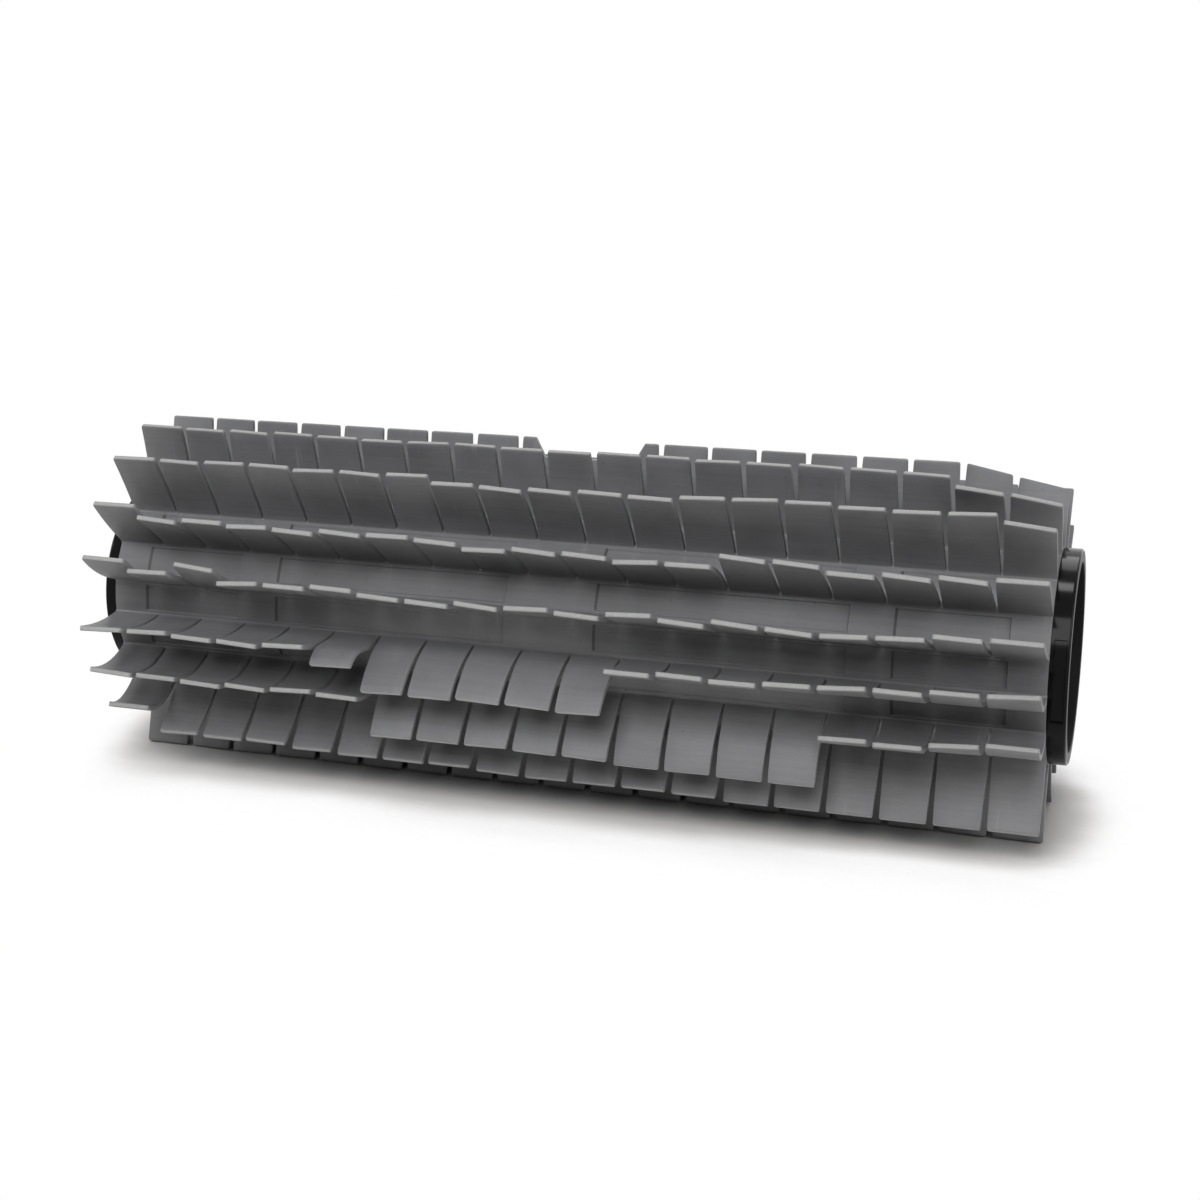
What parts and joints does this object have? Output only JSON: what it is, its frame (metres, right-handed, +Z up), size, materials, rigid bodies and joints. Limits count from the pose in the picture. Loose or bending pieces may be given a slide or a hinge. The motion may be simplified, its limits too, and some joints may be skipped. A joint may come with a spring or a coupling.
{
  "type": "pool cleaner brush",
  "caption": "Hollow roller with collars at its ends, wrapped in a moulded sheet with rows of slit, flexible blades that scrub pool floors and walls.",
  "frame": {"origin": "on the axis of the bore, half way along the tube", "axes": "+X along the roller, towards the wider collar with the shallow pocket; +Y away from the side that the picture shows; +Z up, with the lowest blade rows on a floor about 61 mm below the axis"},
  "size_m": [0.3526, 0.128, 0.1249],
  "materials": {
    "tube": "gloss black",
    "sheet": "satin grey, finely speckled"
  },
  "bodies": {
    "root": {"brush_tube": "tube", "brush_sheet": "sheet"}
  },
  "joints": []
}
